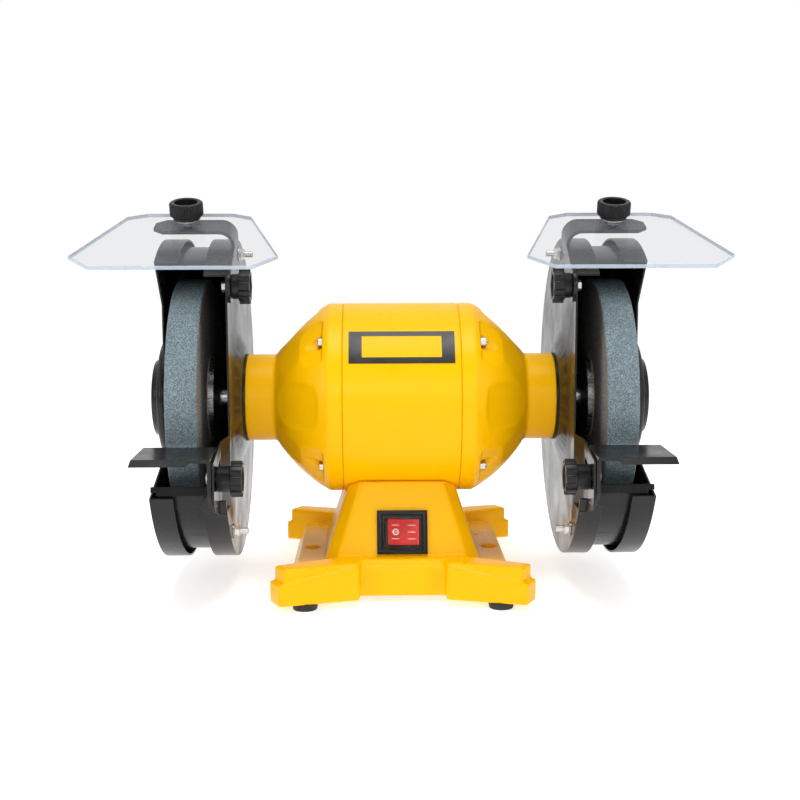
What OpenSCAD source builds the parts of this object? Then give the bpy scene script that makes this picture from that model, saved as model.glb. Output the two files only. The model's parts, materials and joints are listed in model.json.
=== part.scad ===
// Bench grinder with two 200 mm wheels, guards, tool rests and eye shields.
// X runs along the shaft, Y points away from the operator, Z up.
// The origin is on the bench, below the middle of the overall box.
// Parts are drawn from the middle of the shaft axis and then moved to their place.

/* [Base] */
// Height of the shaft axis above the underside of the casting
axis_h = 151; // [145:1:190]
// How far the rubber feet stand out below the casting
foot_h = 5.5; // [4:0.5:12]
// Overall width of the casting across the leg ends
base_w = 212; // [200:1:260]
// Radius of the two bench bolt holes
bench_hole_r = 6; // [4:0.5:7]
// Distance between the two bench bolt holes
bench_hole_span = 152; // [148:1:156]

/* [Motor] */
// Outer radius of the motor shell
shell_r = 79.4; // [78:0.2:88]
// Length of the motor shell
shell_l = 95; // [90:1:104]
// Distance between the outer ends of the two bearing necks
neck_span = 258; // [250:1:290]
// Outer radius of a bearing neck
neck_r = 36.5; // [34:0.5:37]

/* [Wheels] */
// Radius of a grinding wheel
wheel_r = 100; // [75:1:104]
// Width of a grinding wheel
wheel_w = 25; // [16:1:26]
// Radius of the wheel bore and of the arbor
arbor_r = 8; // [6:0.5:8]

/* [Guards] */
// Outer radius of the guards
guard_r = 133.5; // [130:0.5:145]
// Thickness of the guard sheet
sheet_t = 1.6; // [1.2:0.1:2]
// Distance of an outer cover's face from the middle of the machine
cover_x = 195.5; // [194:0.5:198]

/* [Tool rests and shields] */
// Depth of a tool rest plate, front to back
rest_depth = 55; // [40:1:70]
// Tilt of the eye shields, front edge down
shield_tilt = 18; // [10:1:25]
// Widest part of an eye shield
shield_w = 157.4; // [130:0.2:170]
// Length of an eye shield along its slope
shield_l = 128; // [110:1:140]

/* [Hidden] */
$fn = 96;

yellow = [1, 0.78, 0];
black = [0.06, 0.06, 0.06];
zinc = [0.78, 0.78, 0.76];
steel = [0.55, 0.56, 0.58];
copper = [0.72, 0.4, 0.2];
grit = [0.45, 0.52, 0.56];
clear = [0.85, 0.92, 1, 0.35];

// Gap between parts that move past each other
slip = 0.3;
// Excess length of a cutting solid
cut = 0.5;

shaft_z = foot_h + axis_h;

// Stations along the shaft, measured from the middle of the machine
shell_x = shell_l / 2;
flange_x = shell_x + 12;
neck_root_x = 104.5;
neck_x = neck_span / 2;
neck_ring_t = 1.7;
pad_x = neck_x + neck_ring_t;
disc_x = pad_x + 5.8;
disc_out_x = disc_x + sheet_t;
shoulder_x = 151;
inner_flange_t = 8.4;
blotter_t = 0.6;
wheel_x = shoulder_x + inner_flange_t + blotter_t;
wheel_mid_x = wheel_x + wheel_w / 2;
outer_flange_x = wheel_x + wheel_w + blotter_t;
outer_flange_t = 6;
nut_x = outer_flange_x + outer_flange_t;
nut_t = 8.4;
shaft_end_x = nut_x + nut_t + 2;

// Bearings: 20 mm bore, 47 mm outside, 14 mm wide
bearing_x = 108;
bearing_w = 14;
bearing_in_r = 10;
bearing_out_r = 23.5;
ball_track_r = 16.75;
ball_r = 3.9;
ball_count = 8;

// Motor inside
shell_t = 4;
shell_in_r = shell_r - shell_t;
bell_t = 7;
seam = 0.5;
stack_x = 30;
rotor_r = 42;
air_gap = 0.4;
rotor_seat_r = 12;
through_bolt_r = 2.5;
through_ring_r = shell_in_r - through_bolt_r - 1.9;
pocket_x = flange_x + 4.5;
saddle_bolt_x = 36;

// Guards
rim_depth = 18.5;
chord_y = -80;
band_r = guard_r - 6.5;
band_x0 = disc_x + 12;
band_x1 = cover_x - 5;
stud_r = 2.5;
stud_ring_r = guard_r - 12.5;
stud_angles = [236, 356, 85];
guard_screw_ring_r = 30;
shaft_hole_r = 13;
boss_r = [50, 34];
boss_x = [cover_x + 4, shaft_end_x + 4.5];

// Tab of the inner guard that carries the tool rest, set out from the disc
tab_x = disc_x + 5;
tab_out_x = tab_x + sheet_t;
tab_front_y = -148;
tab_low_z = -77;
web_y0 = -109;
web_y1 = -83;
rim_start = 209.6;

// Tool rest: its clamp bolt sits in a slot that points at the shaft
rest_bolt_y = -130;
rest_bolt_z = -45.5;
rest_slope = atan(rest_bolt_z / rest_bolt_y);
rest_top_z = -26;
rest_t = 3;
rest_back_y = -101;
rest_front_y = rest_back_y - rest_depth;
lip_out = 1.8;
rest_x0 = tab_out_x + slip;
rest_x1 = 201.5;
lip_x0 = 156.5;
lip_h = 5.4;
clamp_r = 3;
slot_in = 23;
slot_out = 10;

// Shield bracket: turns about its pivot bolt on the inner guard
pivot_y = -75;
pivot_z = 97.2;
bracket_t = 2.7;
bracket_x = disc_x - slip - bracket_t;
arm_top = 33;
arm_u0 = 37.4;
arm_u1 = 67.4;
arm_mid = (arm_u0 + arm_u1) / 2;
arm_end_x = 199;
bend_r = 10;
shield_t = 3;
shield_v = arm_top + slip;
shield_rear_u = 74;
washer_v = shield_v + shield_t + slip;
washer_t = 1.8;
top_knob_v = washer_v + washer_t + slip;
top_knob_h = 14;

// Base casting, heights measured from the shaft axis
ground_z = -axis_h;
leg_tip_z = ground_z + 17;
ridge_z = ground_z + 29.4;
shelf_z = ground_z + 20;
saddle_z = -64;
front_leg_y = -96.5;
rear_leg_y = 115;
leg_end = 17.8;
saddle_half_y = 50;
foot_front_y = -80;
foot_rear_y = 95;
front_lean = atan((-saddle_half_y - foot_front_y) / (saddle_z - ground_z));
slice_t = 0.1;
wall = 5;
plate_t = 1.5;
foot_r = 10.5;
foot_bolts = [[77.7, -99], [-77.7, -99], [77.7, 117.5], [-77.7, 117.5]];
cover_screws = [[48, -62], [-48, -62], [48, 76], [-48, 76]];
plate_y0 = -70;
plate_y1 = 84;
plate_half_x = 56;

// Switch on the front face of the pedestal
switch_z = -103.5;
switch_y = -saddle_half_y - (saddle_z + slice_t - switch_z) * tan(front_lean);
bezel = [41, 35.6];
cover_win = [33, 28.4];
well = [28.6, 22];
switch_depth = 26;
rocker_pivot = -5;
rocker_rest = 8;
grommet_z = -108;
rear_lean = atan((foot_rear_y - saddle_half_y) / (saddle_z - ground_z));
grommet_y = saddle_half_y + (saddle_z + slice_t - grommet_z) * tan(rear_lean);
cord_r = 4;

// Middle of the overall box, front to back
mid_y = (max(guard_r, rear_leg_y + leg_end) + rest_front_y - lip_out) / 2;

// ---- Helpers -------------------------------------------------------------

// Moves a part from the shaft axis to its place above the bench
module on_axis() translate([0, -mid_y, shaft_z]) children();

// The children, mirrored for the left side
module side(s) if (s < 0) mirror([1, 0, 0]) children(); else children();

// A turned solid about the X axis; its profile is a list of [x, radius]
module lathe_x(profile)
    rotate([0, 90, 0])
        rotate_extrude()
            polygon([for (p = profile) [p[1], p[0]]]);

// A cylinder along X from x0 to x1
module rod_x(x0, x1, r)
    translate([x0, 0, 0]) rotate([0, 90, 0]) cylinder(h = x1 - x0, r = r);

// A tube along X
module tube_x(x0, x1, r_out, r_in)
    difference() {
        rod_x(x0, x1, r_out);
        rod_x(x0 - cut, x1 + cut, r_in);
    }

// A flat plate across X; the children give its outline in Y and Z
module sheet_x(x0, t)
    translate([x0, 0, 0]) rotate([90, 0, 90]) linear_extrude(t) children();

// Moves the children out along a ray at an angle in the YZ plane
module at_angle(a, r) translate([0, r * cos(a), r * sin(a)]) children();

// A hexagon prism along X, sized across its flats
module hex_x(x0, x1, flats)
    translate([x0, 0, 0])
        rotate([0, 90, 0])
            cylinder(h = x1 - x0, r = flats / sqrt(3), $fn = 6);

// Points of an arc from p to q with radius r, bulging away from the axis
function arc(p, q, r, n) =
    let (d = q - p, half = norm(d) / 2, back = sqrt(r * r - half * half),
         side_dir = [d[1], -d[0]] / norm(d), c = (p + q) / 2 + side_dir * back,
         a0 = atan2(p[1] - c[1], p[0] - c[0]), a1 = atan2(q[1] - c[1], q[0] - c[0]))
    [for (i = [0:n]) c + r * [cos(a0 + (a1 - a0) * i / n), sin(a0 + (a1 - a0) * i / n)]];

// ---- Motor ---------------------------------------------------------------

dome_r = 116;
dome = arc([flange_x, shell_r], [neck_root_x, neck_r], dome_r, 10);
dome_in = arc([flange_x, shell_r - bell_t], [neck_root_x - 3, neck_r - bell_t], dome_r - bell_t, 8);

module motor_shell() on_axis() color(yellow) {
    difference() {
        lathe_x([[-shell_x, shell_in_r], [-shell_x, shell_r - seam], [seam - shell_x, shell_r],
                 [shell_x - seam, shell_r], [shell_x, shell_r - seam], [shell_x, shell_in_r]]);
        for (s = [-1, 1]) translate([s * saddle_bolt_x, 0, -shell_r - cut]) cylinder(h = shell_t + 2 * cut, r = 4);
    }
}

// Solid under the outer surface of a bell, from the shell to the neck root
module bell_solid()
    lathe_x(concat([[shell_x, 0], [shell_x, shell_r - seam], [shell_x + seam, shell_r]], dome, [[neck_root_x, 0]]));

// Flat panel that is sunk into the dome, with sloping sides
module bell_panel() {
    floor_line = [[flange_x + 10, 71.5], [neck_root_x - 1, 38.8]];
    out = [5.5, 5.8];
    hull() {
        rotate([90, 0, 0]) linear_extrude(33, center = true)
            polygon([floor_line[0], floor_line[1], floor_line[0] + [0.3, 0.3]]);
        rotate([90, 0, 0]) linear_extrude(46, center = true)
            polygon([[flange_x + 4, 80], floor_line[1] + out, [flange_x + 4.3, 80.3]]);
    }
}

// Sloping pocket that makes a flat seat for a through bolt's head
module bell_pocket() {
    pocket_half = 21;
    rotate([90, 0, 0])
        linear_extrude(2 * pocket_half, center = true)
            polygon([
                [pocket_x, shell_r - 7], [pocket_x + 19, shell_r - 17.5],
                [neck_root_x - 3, neck_r + 5], [neck_root_x + 8, 95], [pocket_x, 95]
            ]);
    translate([0, 0, through_ring_r]) rod_x(pocket_x, neck_root_x, 6.5);
}

module end_bell(s) on_axis() side(s) color(yellow) difference() {
    union() {
        difference() {
            bell_solid();
            lathe_x(concat([[shell_x - cut, 0], [shell_x - cut, shell_r - 5.4], [flange_x - 2, shell_r - 5.4]],
                           dome_in, [[neck_root_x - 3, 0]]));
        }
        intersection() {
            bell_solid();
            for (a = [45:90:315]) rotate([a, 0, 0]) translate([0, 0, through_ring_r - 3])
                rod_x(shell_x + 6, shell_x + 40, 9);
        }
        rod_x(neck_root_x - 3, neck_x, neck_r);
    }
    for (a = [0:90:270]) rotate([a, 0, 0]) bell_panel();
    for (a = [45:90:315]) rotate([a, 0, 0]) {
        bell_pocket();
        translate([0, 0, through_ring_r]) rod_x(shell_x - cut, pocket_x + cut, through_bolt_r + 0.25);
    }
    rod_x(neck_root_x - 4, bearing_x + bearing_w + 1.5, bearing_out_r);
    rod_x(neck_root_x, neck_x + cut, shaft_hole_r);
    for (a = [90, 210, 330]) at_angle(a, guard_screw_ring_r) rod_x(neck_x - 14, neck_x + cut, 2.5);
    // Drain notch at the bottom of the joint
    translate([shell_x + 1.5, -3, -shell_r - cut]) cube([5, 6, 2.5]);
}

module through_bolts() on_axis() color(zinc)
    for (a = [45:90:315]) rotate([a, 0, 0]) translate([0, 0, through_ring_r]) {
        rod_x(-pocket_x, pocket_x + 5.5, through_bolt_r);
        hex_x(-pocket_x - 3.5, -pocket_x, 8);
        difference() {
            hex_x(pocket_x, pocket_x + 4.5, 8);
            rod_x(pocket_x - cut, pocket_x + 5, through_bolt_r);
        }
    }

module stator_core() on_axis() color(steel) difference() {
    tube_x(-stack_x, stack_x, shell_in_r, rotor_r + air_gap);
    for (a = [45:90:315]) rotate([a, 0, 0]) translate([0, 0, through_ring_r]) rod_x(-stack_x - cut, stack_x + cut, 4.6);
}

module stator_windings() on_axis() color(copper)
    for (s = [-1, 1]) side(s)
        lathe_x([[stack_x, 47], [stack_x, 66], [stack_x + 4, 68], [stack_x + 13, 66],
                 [stack_x + 15, 62], [stack_x + 15, 51], [stack_x + 12, 47]]);

module shaft() on_axis() color(steel)
    lathe_x([
        [-shaft_end_x, 0], [-shaft_end_x, arbor_r - 1], [1 - shaft_end_x, arbor_r],
        [-shoulder_x, arbor_r], [-shoulder_x, bearing_in_r], [-bearing_x, bearing_in_r],
        [-bearing_x, rotor_seat_r], [bearing_x, rotor_seat_r], [bearing_x, bearing_in_r],
        [shoulder_x, bearing_in_r], [shoulder_x, arbor_r], [shaft_end_x - 1, arbor_r],
        [shaft_end_x, arbor_r - 1], [shaft_end_x, 0]
    ]);

module rotor_core() on_axis() color(steel)
    lathe_x([
        [-stack_x - 8, 30], [-stack_x - 8, 40], [-stack_x, 40], [-stack_x, rotor_r],
        [stack_x, rotor_r], [stack_x, 40], [stack_x + 8, 40], [stack_x + 8, 30],
        [stack_x, 30], [stack_x, rotor_seat_r], [-stack_x, rotor_seat_r], [-stack_x, 30]
    ]);

// ---- Bearings ------------------------------------------------------------

// The groove that the balls run in
module ball_track(r)
    translate([bearing_x + bearing_w / 2, 0, 0])
        rotate([0, 90, 0])
            rotate_extrude()
                translate([ball_track_r, 0]) circle(r = r);

module bearing_outer_rings() on_axis() color(steel)
    for (s = [-1, 1]) side(s) difference() {
        tube_x(bearing_x, bearing_x + bearing_w, bearing_out_r, ball_track_r + 2.6);
        ball_track(ball_r + 0.06);
    }

module bearing_inner_rings() on_axis() color(steel)
    for (s = [-1, 1]) side(s) difference() {
        tube_x(bearing_x, bearing_x + bearing_w, ball_track_r - 2.6, bearing_in_r);
        ball_track(ball_r + 0.06);
    }

module bearing_balls() on_axis() color(zinc)
    for (s = [-1, 1]) side(s) {
        for (i = [0:ball_count - 1]) at_angle(i * 360 / ball_count, ball_track_r)
            translate([bearing_x + bearing_w / 2, 0, 0]) sphere(r = ball_r);
        difference() {
            tube_x(bearing_x + 1.5, bearing_x + bearing_w - 1.5, ball_track_r + 1.2, ball_track_r - 1.2);
            for (i = [0:ball_count - 1]) at_angle(i * 360 / ball_count, ball_track_r)
                translate([bearing_x + bearing_w / 2, 0, 0]) sphere(r = ball_r + 0.05);
        }
    }

module wave_washer() on_axis() color(steel)
    tube_x(bearing_x + bearing_w + 0.1, bearing_x + bearing_w + 1.3, bearing_out_r - 0.4, bearing_out_r - 4.5);

// ---- Base ----------------------------------------------------------------

// One bar with two splayed legs, as a plan outline; toward is -1 for the front
module leg_plan(y, toward, inset) {
    half = base_w / 2 - inset;
    polygon([
        [-half, y - toward * 0.9], [-half + 9, y + toward * (leg_end - inset)],
        [-35, y - toward * inset], [-33, y - toward * 15],
        [33, y - toward * 15], [35, y - toward * inset],
        [half - 9, y + toward * (leg_end - inset)], [half, y - toward * 0.9],
        [50, y - toward * (19 + 2 * inset)], [-50, y - toward * (19 + 2 * inset)]
    ]);
}

// Front view of the legs: low at the ends and rising to the pedestal
module leg_low_view()
    polygon([
        [-base_w / 2, ground_z], [base_w / 2, ground_z], [base_w / 2, leg_tip_z],
        [97, leg_tip_z], [35, ridge_z - 2], [-35, ridge_z - 2], [-97, leg_tip_z], [-base_w / 2, leg_tip_z]
    ]);

module leg_bar(y, toward) {
    intersection() {
        translate([0, 0, ground_z]) linear_extrude(40) leg_plan(y, toward, 0);
        rotate([90, 0, 0]) linear_extrude(300, center = true) leg_low_view();
    }
    translate([0, 0, ground_z]) linear_extrude(ridge_z - ground_z) leg_plan(y, toward, 4);
}

// A slice of the pedestal: a rectangle with cut corners
module pedestal_slice(z, half_x, y0, y1, corner)
    translate([0, 0, z])
        linear_extrude(slice_t)
            polygon([
                [-half_x, y0 + corner], [-half_x + corner, y0], [half_x - corner, y0], [half_x, y0 + corner],
                [half_x, y1 - corner], [half_x - corner, y1], [-half_x + corner, y1], [-half_x, y1 - corner]
            ]);

module pedestal_outer()
    hull() {
        pedestal_slice(ground_z, 71, foot_front_y, foot_rear_y, 9);
        pedestal_slice(saddle_z, 42.6, -saddle_half_y, saddle_half_y, 9);
    }

module pedestal_inner()
    hull() {
        pedestal_slice(ground_z - cut, 71 - wall, foot_front_y + wall, foot_rear_y - wall, 9);
        pedestal_slice(-92, 46, -saddle_half_y - 4, saddle_half_y + 6, 9);
    }

module shelf()
    rotate([90, 0, 0])
        linear_extrude(190, center = true)
            polygon([
                [-94, ground_z], [94, ground_z], [86, shelf_z], [64, shelf_z], [58, shelf_z + 4],
                [-58, shelf_z + 4], [-64, shelf_z], [-86, shelf_z]
            ]);

// Frame on the front face of the pedestal; its z points out of the face
module on_front_face() translate([0, switch_y, switch_z]) rotate([90 - front_lean, 0, 0]) children();

// Frame on the rear face of the pedestal; its z points out of the face
module on_rear_face() translate([0, grommet_y, grommet_z]) rotate([rear_lean - 90, 0, 0]) children();

module base_casting() on_axis() color(yellow) difference() {
    union() {
        leg_bar(front_leg_y, -1);
        leg_bar(rear_leg_y, 1);
        intersection() {
            shelf();
            translate([-100, front_leg_y + 12, ground_z]) cube([200, rear_leg_y - front_leg_y - 24, 60]);
        }
        pedestal_outer();
    }
    difference() {
        pedestal_inner();
        for (p = cover_screws) translate([p[0], p[1], ground_z - 1]) cylinder(h = 24, r = 6);
    }
    rod_x(-60, 60, shell_r);
    // Rebate for the plate that closes the base
    translate([-plate_half_x - slip, plate_y0 - slip, ground_z - cut])
        cube([2 * (plate_half_x + slip), plate_y1 - plate_y0 + 2 * slip, plate_t + 1 + cut]);
    for (p = cover_screws) translate([p[0], p[1], ground_z - 1]) cylinder(h = 16, r = 1.9);
    for (s = [-1, 1]) {
        translate([s * bench_hole_span / 2, 0, ground_z - cut]) cylinder(h = 30, r = bench_hole_r);
        translate([s * saddle_bolt_x, 0, -110]) cylinder(h = 40, r = 4.2);
        // Lightening pockets under the shelves
        for (y = [-52, 24]) translate([s * 78 - 6, y, ground_z - cut]) cube([12, 36, 14]);
    }
    for (p = foot_bolts) translate([p[0], p[1], ground_z - cut]) cylinder(h = 9 + cut, r = 3.2);
    translate([68.9, 43.7, shelf_z - 25]) cylinder(h = 40, r = 1.6);
    on_front_face() translate([-15.8, -13.3, -switch_depth]) cube([31.6, 26.6, switch_depth + 5]);
    on_rear_face() translate([0, 0, -15]) cylinder(h = 25, r = 7);
}

module base_plate() on_axis() color(steel) difference() {
    translate([-plate_half_x, plate_y0, ground_z + 1]) cube([2 * plate_half_x, plate_y1 - plate_y0, plate_t]);
    for (p = cover_screws) translate([p[0], p[1], ground_z]) cylinder(h = 5, r = 2.2);
}

module base_plate_screws() on_axis() color(zinc)
    for (p = cover_screws) translate([p[0], p[1], ground_z]) {
        translate([0, 0, -1.4]) cylinder(h = 2.4, r = 3.5);
        cylinder(h = 14, r = 1.9);
    }

module rubber_feet() on_axis() color(black)
    for (p = foot_bolts) translate([p[0], p[1], ground_z]) {
        translate([0, 0, -foot_h]) cylinder(h = foot_h, r1 = foot_r - 1, r2 = foot_r);
        translate([0, 0, -1]) cylinder(h = 9, r = 3.1);
    }

module saddle_bolts() on_axis() color(zinc)
    for (s = [-1, 1]) translate([s * saddle_bolt_x, 0, 0]) {
        translate([0, 0, -92]) cylinder(h = 17, r = 4);
        translate([0, 0, -97.3]) cylinder(h = 5.3, r = 7.5, $fn = 6);
    }

module capacitor() on_axis() color(black)
    translate([0, 42, -112]) rod_x(-28, 28, 15);

module capacitor_clamp() on_axis() color(zinc) {
    translate([0, 42, -112]) tube_x(-5, 5, 16.2, 15);
    translate([-5, 37, -96.2]) cube([10, 10, 4.2]);
}

module terminal_block() on_axis() color([0.9, 0.9, 0.86])
    translate([-20, -22, ground_z + plate_t + 1]) difference() {
        cube([40, 20, 16]);
        for (i = [0:3]) translate([5 + i * 10, 10, 6]) cylinder(h = 12, r = 3);
    }

module cord_grommet() on_axis() on_rear_face() color(black) difference() {
    union() {
        cylinder(h = 4, r = 10);
        translate([0, 0, -8]) cylinder(h = 9, r = 7);
    }
    translate([0, 0, -10]) cylinder(h = 20, r = cord_r);
}

// ---- Switch --------------------------------------------------------------

module box_xy(w, h, z0, z1) translate([-w / 2, -h / 2, z0]) cube([w, h, z1 - z0]);

module switch_body() on_axis() on_front_face() color(black) difference() {
    union() {
        box_xy(bezel[0], bezel[1], 0, 3);
        box_xy(31, 26, -switch_depth, 1);
    }
    box_xy(cover_win[0], cover_win[1], 1, 4);
    box_xy(well[0], well[1], -13, 2);
}

module switch_rocker() on_axis() on_front_face() translate([0, 0, rocker_pivot]) rotate([0, rocker_rest, 0])
    color("red") rotate([90, 0, 0]) linear_extrude(21, center = true)
        polygon([[-13, 8.5], [0, 7], [13, 8.5], [12, 1], [4, -4], [-4, -4], [-12, 1]]);

// Clear hood over the rocker, bevelled on all four sides
module cover_shape(w, h, z0, z1, bevel)
    hull() {
        box_xy(w, h, z0, z0 + 2);
        box_xy(w - 2 * bevel, h - 2 * bevel, z0, z1);
    }

module switch_cover() on_axis() on_front_face() color(clear) difference() {
    cover_shape(cover_win[0], cover_win[1], 1, 8, 3);
    cover_shape(cover_win[0] - 3, cover_win[1] - 3, 0.5, 6.6, 1.8);
}

module nameplate() on_axis() color(black) difference() {
    intersection() {
        tube_x(-42.5, 42.5, shell_r + 0.6, shell_r);
        rotate([-37.5, 0, 0]) translate([-50, -100, -15]) cube([100, 100, 30]);
    }
    intersection() {
        tube_x(-32, 32, shell_r + 2, shell_r + 0.35);
        rotate([-37.5, 0, 0]) translate([-50, -100, -10]) cube([100, 100, 20]);
    }
}

// ---- Wheel ends, drawn for the right side --------------------------------

module neck_rings() on_axis() color(black)
    for (s = [-1, 1]) side(s) difference() {
        tube_x(neck_x, pad_x, neck_r + 0.5, shaft_hole_r + 1);
        for (a = [90, 210, 330]) at_angle(a, guard_screw_ring_r) rod_x(neck_x - cut, pad_x + cut, 2.9);
    }

// Outline of the inner guard's disc, cut off in front
module disc_outline() difference() {
    circle(r = guard_r);
    polygon([[chord_y, 150], [chord_y, tab_low_z], [-200, tab_low_z], [-200, 150]]);
}

// Tab that carries the tool rest: it leaves the disc and is set out by a joggle
module rest_tab() {
    intersection() {
        translate([0, 0, -100])
            linear_extrude(100)
                polygon([
                    [disc_x, chord_y + 1], [disc_x, chord_y - 4], [tab_x, chord_y - 18], [tab_x, tab_front_y],
                    [tab_out_x, tab_front_y], [tab_out_x, chord_y - 17.4], [disc_out_x, chord_y - 3.4], [disc_out_x, chord_y + 1]
                ]);
        sheet_x(disc_x - cut, 12)
            polygon([[chord_y + 1, -19], [tab_front_y, -30], [tab_front_y, -64], [tab_front_y + 5, -69],
                     [-112, tab_low_z], [chord_y + 1, tab_low_z]]);
    }
    // Web that closes the step below the joggle
    translate([disc_x, web_y0, tab_low_z - 0.4]) cube([tab_out_x - disc_x, web_y1 - web_y0, sheet_t]);
}

module inner_guard(s) on_axis() side(s) color(black) difference() {
    union() {
        sheet_x(disc_x, sheet_t) difference() {
            disc_outline();
            circle(r = 54);
        }
        lathe_x([[pad_x, shaft_hole_r], [pad_x, 42], [disc_x, 56], [disc_out_x, 56],
                 [pad_x + sheet_t, 41.2], [pad_x + sheet_t, shaft_hole_r]]);
        rest_tab();
        difference() {
            tube_x(disc_x, disc_x + rim_depth, guard_r, guard_r - sheet_t);
            sheet_x(disc_x - cut, rim_depth + 2 * cut)
                polygon([[chord_y, 150], chord_y * [1, tan(rim_start)], -200 * [1, tan(rim_start)], [-200, 150]]);
        }
    }
    for (a = [90, 210, 330]) at_angle(a, guard_screw_ring_r) rod_x(pad_x - cut, disc_x, 2.9);
    for (a = stud_angles) at_angle(a, stud_ring_r) rod_x(disc_x - cut, disc_out_x + cut, stud_r + 0.3);
    translate([0, pivot_y, pivot_z]) rod_x(disc_x - cut, disc_out_x + cut, clamp_r + 0.1);
    // Slot for the tool rest's clamp bolt
    translate([0, rest_bolt_y, rest_bolt_z]) rotate([rest_slope, 0, 0]) {
        for (y = [-slot_out, slot_in]) translate([0, y, 0]) rod_x(tab_x - cut, tab_out_x + cut, clamp_r + slip);
        translate([tab_x - cut, -slot_out, -clamp_r - slip])
            cube([sheet_t + 2 * cut, slot_in + slot_out, 2 * (clamp_r + slip)]);
    }
}

// The band runs round the back and the bottom, open to the front
band_open = [[0, 0], [-93, 175], [-250, 175], [-250, -140]];

// Folded lip on the band's lower front edge
band_lip = [[-111.9, -62.5], [-109, -55.5], [-107.5, -56], [-110.4, -63]];
band_lip_end = [[-110.8, -59.8], [-109, -55.5], [-107.5, -56], [-109.2, -60]];

module guard_band(s) on_axis() side(s) color(black) union() {
    sheet_x(band_x0, band_x1 - band_x0) {
        difference() {
            circle(r = band_r);
            circle(r = band_r - sheet_t);
            polygon(band_open);
        }
        polygon(band_lip);
    }
    // The lip runs on past the band's outer edge
    sheet_x(band_x1 - cut, cover_x - band_x1 + cut) polygon(band_lip_end);
    // Lugs that the guard bolts run through
    for (a = stud_angles) difference() {
        sheet_x(disc_out_x + 0.2, sheet_t) intersection() {
            circle(r = band_r - sheet_t / 2);
            rotate(a) translate([stud_ring_r, 0]) square([14, 12], center = true);
        }
        at_angle(a, stud_ring_r) rod_x(disc_out_x, disc_out_x + 3, stud_r + 0.3);
    }
    for (a = stud_angles) intersection() {
        tube_x(disc_out_x + 0.2, band_x0 + 1, band_r, band_r - sheet_t);
        rotate([a, 0, 0]) translate([0, 0, -6]) cube([band_x0 + 2, 200, 12]);
    }
}

// Outline of the outer cover, cut back at the front
module cover_outline() difference() {
    circle(r = guard_r);
    polygon([[-66, 150], [-66, 116.2], [-33, 80], [-33, -40.5], [-150, -72.5], [-200, -72.5], [-200, 150]]);
}

module outer_cover(s) on_axis() side(s) color(black) difference() {
    union() {
        sheet_x(cover_x - sheet_t, sheet_t) difference() {
            cover_outline();
            circle(r = boss_r[0] - 2);
        }
        intersection() {
            lathe_x([[cover_x - sheet_t, boss_r[0]], [boss_x[0] - sheet_t, boss_r[0] - 3], [boss_x[0] - sheet_t, boss_r[1]],
                     [boss_x[1] - sheet_t, boss_r[1] - 3], [boss_x[1] - sheet_t, 0], [boss_x[1], 0],
                     [boss_x[1], boss_r[1] - 2.6], [boss_x[0], boss_r[1] + 0.8], [boss_x[0], boss_r[0] - 2.6],
                     [cover_x, boss_r[0] + 0.8]]);
            sheet_x(cover_x - 5, 30) circle(r = boss_r[0]);
        }
        sheet_x(cover_x - rim_depth, rim_depth) difference() {
            cover_outline();
            circle(r = guard_r - sheet_t);
        }
    }
    for (a = stud_angles) at_angle(a, stud_ring_r) rod_x(cover_x - 3, cover_x + cut, stud_r + 0.3);
}

// Three long bolts a side, with their flange nuts on the motor side
module guard_bolts() on_axis() color(zinc)
    for (s = [-1, 1]) side(s) for (a = stud_angles) at_angle(a, stud_ring_r) {
        rod_x(disc_x - 12, cover_x + 1, stud_r);
        rod_x(cover_x, cover_x + 3, 4.6);
        difference() {
            union() {
                rod_x(disc_x - 1.2, disc_x, 5.9);
                hex_x(disc_x - 5.2, disc_x - 1.2, 8);
            }
            rod_x(disc_x - 6, disc_x + cut, stud_r);
        }
    }

module guard_mount_screws() on_axis() color(zinc)
    for (s = [-1, 1]) side(s) for (a = [90, 210, 330]) at_angle(a, guard_screw_ring_r) {
        rod_x(neck_x - 12, pad_x + sheet_t + 1, 2.5);
        rod_x(pad_x + sheet_t, pad_x + sheet_t + 3.2, 4.6);
    }

module inner_flange(s) on_axis() side(s) color(steel)
    lathe_x([[shoulder_x, arbor_r], [shoulder_x, 18], [shoulder_x + 4, 35], [shoulder_x + inner_flange_t, 35],
             [shoulder_x + inner_flange_t, 24], [shoulder_x + inner_flange_t - 1.5, 24],
             [shoulder_x + inner_flange_t - 1.5, arbor_r]]);

module outer_flange(s) on_axis() side(s) color(steel)
    lathe_x([[outer_flange_x, 24], [outer_flange_x, 35], [outer_flange_x + 2.5, 35], [nut_x, 16], [nut_x, arbor_r],
             [outer_flange_x + 1.5, arbor_r], [outer_flange_x + 1.5, 24]]);

module wheel(s) on_axis() side(s) color(grit)
    lathe_x([[wheel_x, arbor_r], [wheel_x, wheel_r - 0.8], [wheel_x + 0.8, wheel_r],
             [wheel_x + wheel_w - 0.8, wheel_r], [wheel_x + wheel_w, wheel_r - 0.8], [wheel_x + wheel_w, arbor_r]]);

module wheel_blotters() on_axis() color([0.72, 0.68, 0.55])
    for (s = [-1, 1]) side(s) {
        tube_x(wheel_x - blotter_t, wheel_x, 36, arbor_r);
        tube_x(wheel_x + wheel_w, outer_flange_x, 36, arbor_r);
    }

module spindle_nuts() on_axis() color(zinc)
    for (s = [-1, 1]) side(s) difference() {
        hex_x(nut_x, nut_x + nut_t, 24);
        rod_x(nut_x - cut, nut_x + nut_t + cut, arbor_r);
    }

// ---- Tool rests ----------------------------------------------------------

// Frame on a tool rest's clamp bolt
module on_rest_bolt() translate([0, rest_bolt_y, rest_bolt_z]) children();

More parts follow.
